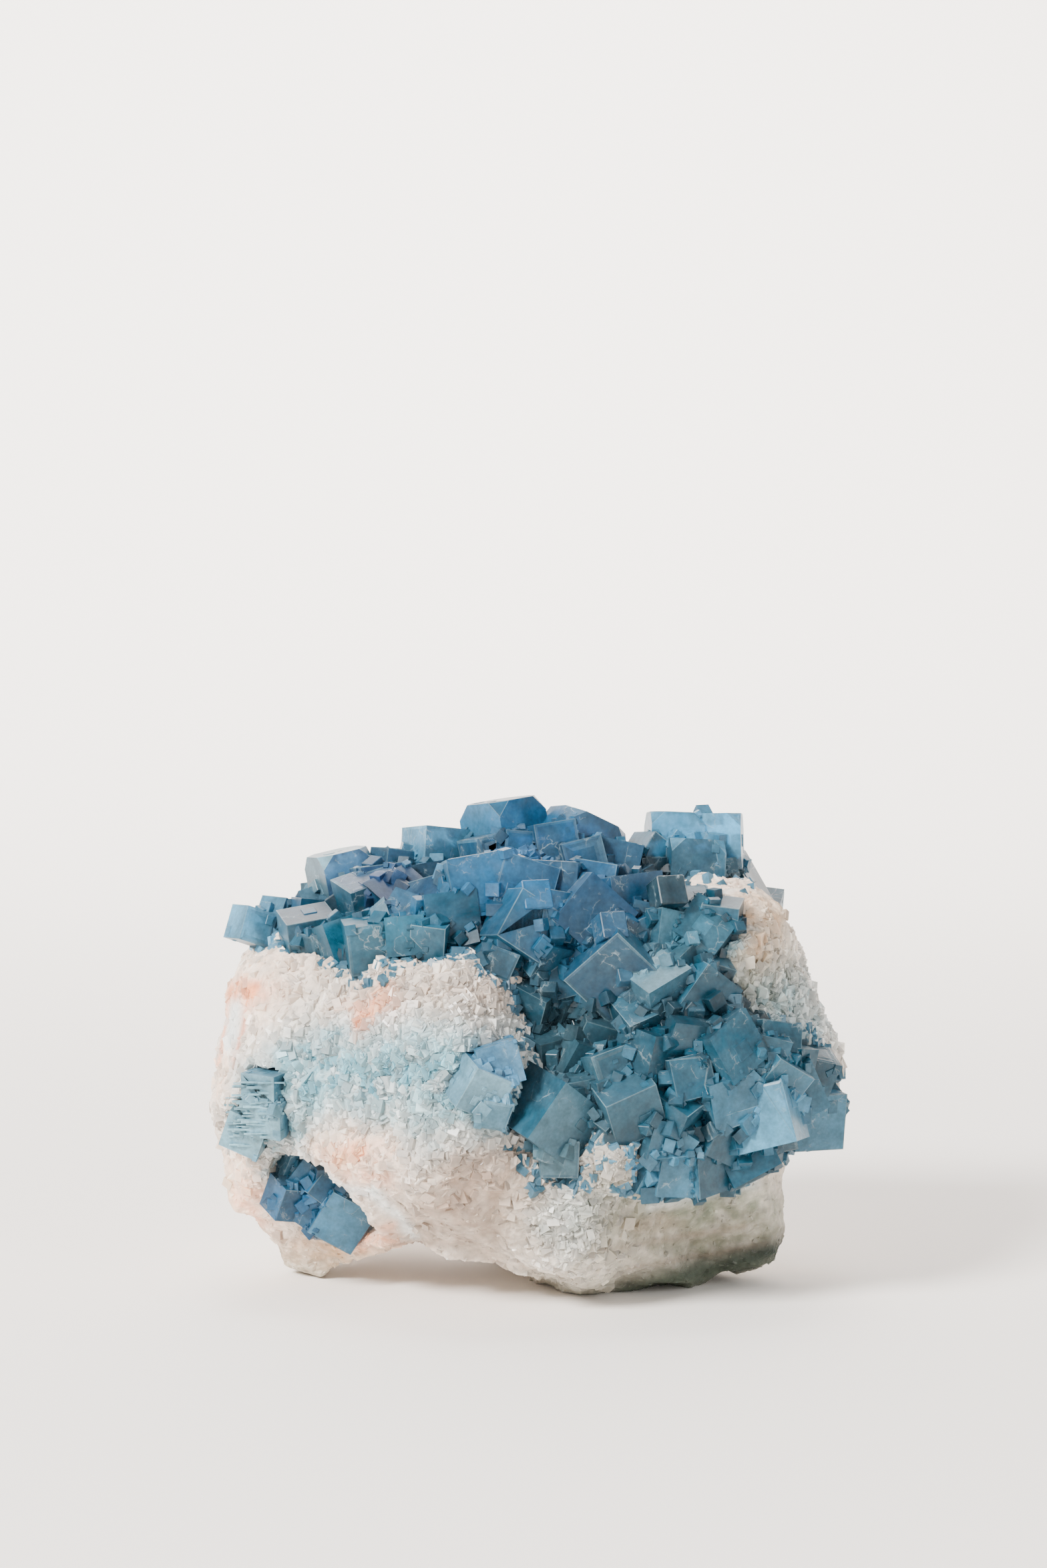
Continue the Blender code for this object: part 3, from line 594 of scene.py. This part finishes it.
# Where the crystals' colour changes: tone, place and reach on the show face, strength
CRYSTAL_ZONES = (
    ("deep", (2.0, 30.0, 18.0, 12.0), 0.9),
    ("light", (-47.0, 21.5, 6.5, 5.5), 1.0),
    ("light", (-16.0, 35.0, 7.0, 5.0), 1.0),
    ("pale", (-33.0, 29.5, 5.0, 4.0), 0.75),
    ("indigo", (-24.5, 26.5, 6.5, 4.5), 0.95),
    ("indigo", (-38.0, 22.0, 5.0, 3.0), 0.5),
    ("teal", (-25.0, 18.5, 11.0, 4.5), 0.9),
    ("light", (28.0, 36.0, 10.0, 6.0), 0.95),
    ("slate", (22.0, 33.5, 4.0, 4.0), 0.8),
    # Painted shade: near black in the deep gap between the large crystals
    ("dark", (24.0, 27.0, 4.5, 5.0), 1.0),
    ("indigo", (16.0, 24.0, 4.0, 6.0), 0.5),
    ("ink", (14.5, 14.0, 8.0, 7.0), 1.0),
    ("teal", (28.0, 19.5, 5.0, 5.0), 0.8),
    ("pale", (22.5, 11.5, 3.6, 4.5), 0.6),
    # Painted shade: grey and dark in the recess between the lobe and the crystals on the right
    ("grey", (9.5, 3.6, 7.0, 4.5), 0.95),
    ("dark", (9.5, 2.5, 4.0, 2.5), 0.3),
    ("slate", (12.0, -6.0, 10.0, 7.0), 0.8),
    ("mist", (8.0, -4.0, 7.0, 6.0), 0.45),
    ("mist", (27.0, 18.0, 5.0, 4.0), 0.45),
    ("mist", (14.0, -14.0, 8.0, 6.0), 0.3),
    ("slate", (33.0, 3.0, 13.0, 8.0), 0.9),
    ("dark", (26.0, 4.0, 4.0, 3.0), 0.6),
    ("dark", (35.0, 9.0, 3.0, 6.0), 0.5),
    ("slate", (30.0, -7.0, 9.0, 5.0), 0.7),
    ("teal", (46.0, -4.0, 6.0, 4.0), 0.6),
    ("light", (45.0, -11.5, 9.0, 5.0), 0.75),
    ("slate", (33.5, -18.5, 5.0, 4.0), 0.6),
    ("light", (21.0, -21.5, 7.0, 4.5), 0.85),
    ("light", (5.0, -12.0, 4.0, 5.0), 0.25),
    ("dark", (6.0, -7.5, 5.0, 2.0), 0.5),
    ("pale", (5.0, -18.0, 4.0, 3.5), 0.5),
)


def crystal_shades(places, zones, start):
    """The crystals' colour at places, from the zones that it runs through."""
    across, up = all_as_seen(places)
    shades = np.tile(CRYSTAL_TONES[start], (len(places), 1))
    for tone, spot, strength in zones:
        share = np.clip(around(across, up, spot) * strength * 1.3, 0.0, strength)[:, None]
        shades = shades * (1 - share) + np.array(CRYSTAL_TONES[tone]) * share
    return shades * np.array(BODY_COLOUR)


rock_surface = BVHTree.FromObject(rock, bpy.context.evaluated_depsgraph_get())
# Crystals carry painted shade near the rock and painted light towards their outer edges
TIP_LIGHT_REACH = 8.0
ROOT_SHADE = 0.54
TIP_LIGHT_GAIN = 0.6
LIGHTEST_CRYSTAL = 0.92


def painted_root_shade_and_tip_light(place):
    """Painted shade and light on a crystal at a place: darker near the rock, where shade falls, and
    lighter at its thin outer edges.
    """
    reach = rock_surface.find_nearest(place)[3] / MM
    return ROOT_SHADE + TIP_LIGHT_GAIN * min(reach / TIP_LIGHT_REACH, 1.0)


def flat_faced(thing):
    """A crystal's mesh with the triangles of each flat face joined into one face."""
    mesh = bmesh.new()
    mesh.from_mesh(thing.data)
    bmesh.ops.dissolve_limit(mesh, angle_limit=math.radians(1.0), verts=mesh.verts, edges=mesh.edges)
    return mesh


# Growth steps on a face, from its edge inwards: width and height in mm, share of faces that go
# on, and how much the ring round the step is lightened, as frost and a painted highlight
STEPS = ((0.22, 0.0, 0.95, 0.5), (0.5, 0.1, 0.5, 0.1), (0.75, -0.1, 0.5, 0.12), (0.9, 0.1, 0.6, 0.1))
FACE_SPREAD = (0.74, 1.26)
FACE_SLANT = 0.3


def terraces(thing, seed, least_area, rounds, zones, start):
    """Steps a crystal's faces inwards by growth terraces, and tints each face of each step."""
    draw = random.Random(seed)
    mesh = flat_faced(thing)
    source = mesh.faces.layers.int.new("source")
    frost_and_highlight = mesh.faces.layers.float.new("frost_and_highlight")
    for index, face in enumerate(mesh.faces):
        face[source] = index
    brightness = [draw.uniform(*FACE_SPREAD) for _ in mesh.faces]
    slants = [Vector([draw.uniform(-1, 1) for _ in range(3)]).normalized() * FACE_SLANT
              for _ in mesh.faces]
    faces = [face for face in mesh.faces if face.calc_area() > least_area * MM ** 2]
    for width, height, kept, frost_and_highlight_strength in rounds:
        faces = [face for face in faces if draw.random() < kept
                 and min(edge.calc_length() for edge in face.edges) > 2.4 * width * MM]
        made = bmesh.ops.inset_individual(mesh, faces=faces, thickness=width * MM, depth=height * MM)
        # The rings round the steps are lightened: frost and a painted highlight along the edges
        for ring in made["faces"]:
            ring[frost_and_highlight] = frost_and_highlight_strength * draw.uniform(0.3, 1.0)
    mesh.faces.index_update()
    mesh.verts.index_update()
    middles = np.array([face.calc_center_median() for face in mesh.faces])
    shades = crystal_shades(middles, zones, start)
    shades *= np.array([brightness[face[source]] for face in mesh.faces])[:, None]
    # Rings mixed towards pale: frost and a painted edge highlight
    frost_and_highlight_share = np.array([face[frost_and_highlight] for face in mesh.faces])[:, None]
    shades = shades * (1 - frost_and_highlight_share) + np.array(CRYSTAL_TONES["pale"]) * frost_and_highlight_share
    # Painted shade near the rock and painted light further out, for each corner
    clear = [painted_root_shade_and_tip_light(vert.co) for vert in mesh.verts]
    corner_tints = []
    for face in mesh.faces:
        middle = face.calc_center_median()
        reach = max((vert.co - middle).length for vert in face.verts) + 1e-6
        for vert in face.verts:
            slant = 1.0 + slants[face[source]].dot(vert.co - middle) / reach
            corner_tints.append((*(shades[face.index] * clear[vert.index] * slant), 1.0))
    mesh.to_mesh(thing.data)
    mesh.free()
    corner_tints = np.clip(corner_tints, 0.0, LIGHTEST_CRYSTAL)
    layer = thing.data.color_attributes.new("tint", "FLOAT_COLOR", "CORNER")
    layer.data.foreach_set("color", corner_tints.ravel())


# A small crystal is a cube with chamfered edges. Many of them are joined into one mesh.
CHAMFER = 0.93
corner_signs = [(x, y, z) for x in (-1, 1) for y in (-1, 1) for z in (-1, 1)]
hull = bmesh.new()
for sign in corner_signs:
    for axis in range(3):
        hull.verts.new([sign[k] * (1.0 if k == axis else CHAMFER) / 2 for k in range(3)])
bmesh.ops.convex_hull(hull, input=hull.verts)
bmesh.ops.dissolve_limit(hull, angle_limit=0.01, verts=hull.verts, edges=hull.edges)
hull.verts.index_update()
CHAMFERED_CUBE = np.array([vert.co for vert in hull.verts])
CUBE_FACES = [[vert.index for vert in face.verts] for face in hull.faces]
hull.free()


def small_crystals(name, places, zones, start, spread, seed):
    """One mesh of cubes, each from its centre and its three edge vectors, tinted by zone, with painted
    shade near the rock and painted light further out.
    """
    draw = np.random.default_rng(seed)
    count = len(places)
    centres = np.array([centre for centre, _ in places])
    axes = np.array([edges for _, edges in places])
    spots = centres[:, None, :] + np.einsum("vk,nkc->nvc", CHAMFERED_CUBE, axes)
    faces = [[corner + index * len(CHAMFERED_CUBE) for corner in face]
             for index in range(count) for face in CUBE_FACES]
    data = bpy.data.meshes.new(name)
    data.from_pydata(spots.reshape(-1, 3).tolist(), [], faces)
    thing = in_scene(name, data)
    shades = crystal_shades(centres, zones, start) * draw.uniform(*spread, count)[:, None]
    # Painted shade near the rock, painted light further out
    shades *= np.array([painted_root_shade_and_tip_light(Vector(centre)) for centre in centres])[:, None]
    shades = np.minimum(shades, LIGHTEST_CRYSTAL)
    add_tints(data, np.repeat(shades, len(CHAMFERED_CUBE), axis=0))
    return thing


def crystal_faces(thing, least_area):
    """The flat faces of a crystal crust: middle, corners, normal, direction of a side, size."""
    mesh = flat_faced(thing)
    found = []
    for face in mesh.faces:
        area = face.calc_area() / MM ** 2
        if area >= least_area:
            side = max(face.edges, key=lambda edge: edge.calc_length())
            along = (side.verts[1].co - side.verts[0].co).normalized()
            found.append((face.calc_center_median(), [v.co.copy() for v in face.verts],
                          face.normal.copy(), along, math.sqrt(area)))
    mesh.free()
    return found


# Where the small crystals stay away
SMOOTH_SUMMIT = (2.0, 30.0, 17.0, 11.0)
SUMMIT_BARE = 0.85
# Parallel growth: the least face that carries it in square mm, its least edge, greatest thickness
# and the size that its rise is limited to, in mm
GROWTH_FACE = 5.0
GROWTH_EDGE = 0.6
GROWTH_THICKNESS = 2.0
GROWTH_RISE = 1.0
# Creases that carry crystals: their least length in mm and the angle between faces in radians
CREASE_LENGTH = 1.0
CREASE_ANGLE = -0.4


def crowded(place, draw):
    """Whether a small crystal grows at a place: nearly everywhere but on the smooth summit."""
    across, up = all_as_seen(np.array([place]))
    return draw.random() > SUMMIT_BARE * around(across, up, SMOOTH_SUMMIT)[0]


def parallel_growth(thing, seed, per_mm, share):
    """Small crystals that stand out of larger faces and lie parallel to them."""
    draw = random.Random(seed)
    places = []
    for middle, corners, normal, along, size in crystal_faces(thing, GROWTH_FACE):
        for _ in range(round(per_mm * size)):
            place = middle.lerp(draw.choice(corners), draw.uniform(0.05, 0.95))
            edge = max(GROWTH_EDGE, share * size * draw.uniform(0.25, 1.0) ** 2) * MM
            rise = min(edge, GROWTH_RISE * MM) * draw.uniform(0.05, 0.2)
            lengths = (edge, edge * draw.uniform(0.6, 1.4), min(edge, GROWTH_THICKNESS * MM))
            axes = (along * lengths[0], normal.cross(along) * lengths[1], normal * lengths[2])
            if crowded(place, draw):
                places.append((place + normal * (rise - lengths[2] / 2), axes))
    return places


def crevice_growth(thing, seed, spacing, edges):
    """Small turned crystals in the creases where larger ones meet."""
    draw = random.Random(seed)
    mesh = flat_faced(thing)
    places = []
    for edge in mesh.edges:
        length = edge.calc_length() / MM
        if len(edge.link_faces) != 2 or length < CREASE_LENGTH:
            continue
        if edge.calc_face_angle_signed() > CREASE_ANGLE:
            continue
        outward = sum((face.normal for face in edge.link_faces), Vector()).normalized()
        for _ in range(max(1, round(length / spacing))):
            place = edge.verts[0].co.lerp(edge.verts[1].co, draw.uniform(0.0, 1.0))
            side = draw.uniform(0.0, 1.0) ** 2 * (edges[1] - edges[0]) + edges[0]
            turn = Vector([draw.uniform(-1, 1) for _ in range(3)]).to_track_quat("Z", "Y").to_matrix()
            lengths = [side * draw.uniform(0.8, 1.25) * MM for _ in range(3)]
            axes = [turn.col[axis] * lengths[axis] for axis in range(3)]
            if crowded(place, draw):
                places.append((place + outward * side * draw.uniform(-0.1, 0.2) * MM, axes))
    mesh.free()
    return places


crystal = copy_of_node("blue_crystals", "blue_crystal_crust")
growth = parallel_growth(crystal, seed=3, per_mm=0.2, share=0.4)
growth_piece = small_crystals("blue_parallel_growth", growth, CRYSTAL_ZONES, "slate",
                              spread=(0.7, 1.35), seed=4)
creases = crevice_growth(crystal, seed=8, spacing=1.6, edges=(0.6, 2.6))
crystal_surface = BVHTree.FromObject(crystal, bpy.context.evaluated_depsgraph_get())


def line_of_sight(across, up):
    """The direction from the eye through a place on the show face."""
    return (CENTRE + (RIGHT * across + UP * up) * MM - EYE).normalized()


def first_hit(surface, across, up):
    """Where the line of sight through a place on the show face first meets a surface."""
    return surface.ray_cast(EYE, line_of_sight(across, up))[0]


# Blocks that sit in the deepest gaps between the large crystals: across, up, edge in mm. Each
# is sunk behind the nearest of the crystals around its gap.
GAP_BLOCKS = ((1.6, 25.2, 5.0), (25.0, 26.0, 5.0), (15.0, 20.0, 4.5))
GAP_RIM = ((-4.0, 0.0), (4.0, 0.0), (0.0, 4.0), (0.0, -4.0))
GAP_SUNK = 0.62
block_turn = Vector((0.4, -1.0, 0.5)).to_track_quat("Z", "Y").to_matrix()
for block_across, block_up, side in GAP_BLOCKS:
    hits = [first_hit(crystal_surface, block_across + right, block_up + rise) for right, rise in GAP_RIM]
    nearest = min((hit - EYE).dot(AWAY) for hit in hits if hit)
    middle = EYE + line_of_sight(block_across, block_up) * (nearest + GAP_SUNK * side * MM)
    creases.append((middle, [block_turn.col[axis] * side * MM for axis in range(3)]))
crease_piece = small_crystals("blue_crevice_crystals", creases, CRYSTAL_ZONES, "slate",
                              spread=(0.55, 1.5), seed=6)
terraces(crystal, seed=9, least_area=4.0, rounds=STEPS, zones=CRYSTAL_ZONES, start="slate")


def cloudy_veils():
    """A node group for fluorite: clouds, thin healed cracks and a fine bloom over a tint."""
    tree = bpy.data.node_groups.new("cloudy_veils", "ShaderNodeTree")
    for label, kind in (("Tint", "Color"), ("Cloud", "Float"), ("Crack", "Float")):
        tree.interface.new_socket(label, in_out="INPUT", socket_type="NodeSocket" + kind)
    for label, kind in (("Colour", "Color"), ("Roughness", "Float"), ("Height", "Float")):
        tree.interface.new_socket(label, in_out="OUTPUT", socket_type="NodeSocket" + kind)
    node = node_maker(tree)
    given = node("NodeGroupInput").outputs
    place = node("ShaderNodeTexCoord").outputs["Object"]
    clouds = node("ShaderNodeTexNoise", {"Vector": place, "Scale": 150.0, "Detail": 5.0,
                                         "Roughness": 0.6, "Distortion": 0.8})
    cloud = node("ShaderNodeMapRange", {"Value": clouds.outputs["Fac"], "From Min": 0.35,
                                        "From Max": 0.75, "To Min": 0.0, "To Max": given["Cloud"]})
    milky = node("ShaderNodeMix", {"Factor": cloud.outputs[0], "A": given["Tint"],
                                   "B": (0.36, 0.58, 0.68, 1.0)}, data_type="RGBA")
    bends = node("ShaderNodeVectorMath", {0: clouds.outputs["Color"], "Scale": 0.006},
                 operation="SCALE")
    bent = node("ShaderNodeVectorMath", {0: place, 1: bends.outputs[0]}, operation="ADD")
    cells = node("ShaderNodeTexVoronoi", {"Vector": bent.outputs[0], "Scale": 330.0},
                 feature="DISTANCE_TO_EDGE")
    line = node("ShaderNodeMapRange", {"Value": cells.outputs["Distance"], "From Min": 0.0,
                                       "From Max": 0.04, "To Min": 1.0, "To Max": 0.0})
    where = node("ShaderNodeMapRange", {"Value": clouds.outputs["Fac"], "From Min": 0.54,
                                        "From Max": 0.66, "To Min": 0.0, "To Max": given["Crack"]})
    crack = node("ShaderNodeMath", {0: line.outputs[0], 1: where.outputs[0]}, operation="MULTIPLY")
    marked = node("ShaderNodeMix", {"Factor": crack.outputs[0], "A": milky.outputs["Result"],
                                    "B": (0.62, 0.8, 0.86, 1.0)}, data_type="RGBA")
    dust = node("ShaderNodeTexNoise", {"Vector": place, "Scale": 1900.0, "Detail": 2.0})
    dusty = node("ShaderNodeMapRange", {"Value": dust.outputs["Fac"], "From Min": 0.3, "From Max": 0.7,
                                        "To Min": 0.86, "To Max": 1.12})
    mottles = node("ShaderNodeTexNoise", {"Vector": place, "Scale": 420.0, "Detail": 4.0,
                                          "Roughness": 0.65})
    mottled = node("ShaderNodeMapRange", {"Value": mottles.outputs["Fac"], "From Min": 0.3,
                                          "From Max": 0.7, "To Min": 0.7, "To Max": 1.26})
    shade = node("ShaderNodeMath", {0: dusty.outputs[0], 1: mottled.outputs[0]}, operation="MULTIPLY")
    final = node("ShaderNodeVectorMath", {0: marked.outputs["Result"], "Scale": shade.outputs[0]},
                 operation="SCALE")
    rough = node("ShaderNodeMapRange", {"Value": clouds.outputs["Fac"], "To Min": 0.2, "To Max": 0.45})
    node("NodeGroupOutput", {"Colour": final.outputs[0], "Roughness": rough.outputs[0],
                             "Height": clouds.outputs["Fac"]})
    return tree


veils_tree = cloudy_veils()


def fluorite(name, cloud, crack, transmission, absorbed, density):
    """A cloudy fluorite finish over the piece's tints, in which shade and light are painted."""
    made, shader, node = principled(name)
    tint = node("ShaderNodeAttribute", attribute_name="tint").outputs["Color"]
    veils = node("ShaderNodeGroup", node_tree=veils_tree)
    made.node_tree.links.new(tint, veils.inputs["Tint"])
    veils.inputs["Cloud"].default_value = cloud
    veils.inputs["Crack"].default_value = crack
    made.node_tree.links.new(veils.outputs["Colour"], shader.inputs["Base Color"])
    made.node_tree.links.new(veils.outputs["Roughness"], shader.inputs["Roughness"])
    shader.inputs["IOR"].default_value = 1.434
    shader.inputs["Specular IOR Level"].default_value = 0.2
    shader.inputs["Transmission Weight"].default_value = transmission
    bump = node("ShaderNodeBump", {"Height": veils.outputs["Height"], "Strength": 0.2,
                                   "Distance": 0.0005})
    made.node_tree.links.new(bump.outputs[0], shader.inputs["Normal"])
    absorb = node("ShaderNodeVolumeAbsorption", {"Color": (*absorbed, 1.0), "Density": density})
    made.node_tree.links.new(absorb.outputs[0], made.node_tree.nodes["Material Output"].inputs["Volume"])
    return made


def dress(piece, look):
    """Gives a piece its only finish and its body."""
    piece.data.materials.clear()
    piece.data.materials.append(look)
    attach(piece, "root")


blue_look = fluorite("blue_fluorite_crystal", cloud=0.16, crack=0.75, transmission=0.6,
                     absorbed=(0.12, 0.46, 0.68), density=130.0)
dress(crystal, blue_look)
dress(growth_piece, blue_look)
dress(crease_piece, blue_look)
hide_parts("blue_crystals")


# Small crystals strewn over the rock along the crust's edge, where the blue thins out, and over
# the saddle behind the summit. The left flank, the shoulder and its cap stay bare.
BORDER_REACH = 3.0
SADDLE_HEIGHT = 60.0
SADDLE_EASE = 4.0
BARE_FLANK = (-44.0, 12.0, 9.0, 5.0)
BARE_SHOULDER = (41.0, 17.0, 9.0, 12.0)
BARE_CAP = (34.0, 26.0, 9.0, 8.0)
crust_surface = BVHTree.FromObject(crystal, bpy.context.evaluated_depsgraph_get())
reaches = np.array([crust_surface.find_nearest(Vector(spot))[3] for spot in spots]) / MM
cover = np.clip(1.1 - reaches / BORDER_REACH, 0.0, 1.0) * np.clip(0.2 + front, 0.0, 1.0)
saddle = np.clip((spots[:, 2] / MM - SADDLE_HEIGHT) / SADDLE_EASE, 0.0, 1.0)
saddle *= np.clip(2.0 * normals[:, 2] - 0.4, 0.0, 1.0)
cover = np.maximum(cover, 0.9 * saddle * (1.0 - around(across, up, BARE_CAP)))
bare = np.maximum(around(across, up, BARE_FLANK), around(across, up, BARE_SHOULDER))
border_base = rock.data.copy()
store_cover(border_base, "border", cover * (1.0 - np.clip(1.8 * bare, 0.0, 1.0)))
border_base.color_attributes.remove(border_base.color_attributes["tint"])
add_tints(border_base, np.minimum(crystal_shades(spots, CRYSTAL_ZONES, "slate") * 1.5 + 0.05, 0.9))
strewn_grains("border_crystals", border_base, cover="border", per_metre=1.3e6, edges=(0.6, 1.9),
              sunk=0.15, seed=4, finish=blue_look)


# The pale blue crystals perched on the edge of the lobe: a clear cube on a frosted mass, grown
# together into one group that is seated in the rock.
PERCHED_ZONES = (
    ("sky", (-3.0, -3.5, 5.0, 5.0), 1.0),
    ("pale", (-8.5, -9.0, 5.0, 5.0), 0.6),
)
# The small groups, this one and the two below, have one growth step fewer than the crust
GROUP_STEPS = STEPS[:3]
perched = copy_of_node("perched_crystals", "perched_crystal_group")
small_ones = crevice_growth(perched, seed=2, spacing=0.8, edges=(0.6, 2.0))
small_ones += parallel_growth(perched, seed=5, per_mm=0.9, share=0.3)
perched_growth = small_crystals("perched_small_crystals", small_ones, PERCHED_ZONES, "light",
                                spread=(0.85, 1.2), seed=3)
terraces(perched, seed=4, least_area=2.0, rounds=GROUP_STEPS, zones=PERCHED_ZONES, start="light")
pale_look = fluorite("pale_fluorite_crystal", cloud=0.35, crack=0.5, transmission=0.4,
                     absorbed=(0.40, 0.72, 0.86), density=60.0)
dress(perched, pale_look)
dress(perched_growth, pale_look)
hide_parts("perched_crystals")


# The pocket's crystals: darker blue slabs that line the hollow, under the lobe's pale lip, as
# one crust with the rock.
POCKET_ZONES = (
    ("deep", (-37.0, -25.5, 6.0, 5.0), 0.9),
    ("light", (-30.0, -29.5, 5.0, 3.5), 0.6),
    ("teal", (-41.0, -20.0, 4.0, 4.0), 0.6),
)
pocket = copy_of_node("pocket_crystals", "pocket_crystal_group")
small_ones = crevice_growth(pocket, seed=6, spacing=1.2, edges=(0.7, 2.2))
small_ones += parallel_growth(pocket, seed=7, per_mm=0.3, share=0.3)
pocket_growth = small_crystals("pocket_small_crystals", small_ones, POCKET_ZONES, "deep",
                               spread=(0.7, 1.4), seed=5)
terraces(pocket, seed=6, least_area=2.0, rounds=GROUP_STEPS, zones=POCKET_ZONES, start="deep")
dress(pocket, blue_look)
dress(pocket_growth, blue_look)
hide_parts("pocket_crystals")


# The band's crystals: pale teal, on the left flank above the pocket. They are built of thin
# plates, whose edges show as level white lines.
BAND_ZONES = (
    ("teal", (-43.5, -9.0, 4.0, 5.0), 0.45),
    ("pale", (-47.0, -13.0, 5.0, 6.0), 0.75),
)
PLATES = 64
PLATE_DEPTH = 2.4
PLATES_ACROSS = (-50.0, -43.5)
PLATES_UP = (-18.0, -6.5)
band = copy_of_node("band_crystals", "band_crystal_group")
band_surface = BVHTree.FromObject(band, bpy.context.evaluated_depsgraph_get())
draw = random.Random(12)
plates = []
for _ in range(PLATES):
    spot = first_hit(band_surface, draw.uniform(*PLATES_ACROSS), draw.uniform(*PLATES_UP))
    if spot:
        lengths = (draw.uniform(1.5, 6.0), PLATE_DEPTH, draw.uniform(0.18, 0.5))
        level = [axis * length * MM for axis, length in zip((RIGHT, AWAY, UP), lengths)]
        plates.append((spot + AWAY * draw.uniform(0.98, 1.18) * MM, level))
small_ones = crevice_growth(band, seed=9, spacing=0.9, edges=(0.6, 1.8))
small_ones += parallel_growth(band, seed=10, per_mm=1.0, share=0.4)
band_growth = small_crystals("band_small_crystals", small_ones, BAND_ZONES, "light",
                             spread=(0.8, 1.3), seed=7)
band_plates = small_crystals("band_plates", plates, BAND_ZONES, "pale", spread=(0.95, 1.4), seed=11)
terraces(band, seed=8, least_area=2.0, rounds=GROUP_STEPS, zones=BAND_ZONES, start="light")
dress(band, pale_look)
dress(band_growth, pale_look)
dress(band_plates, pale_look)
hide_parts("band_crystals")
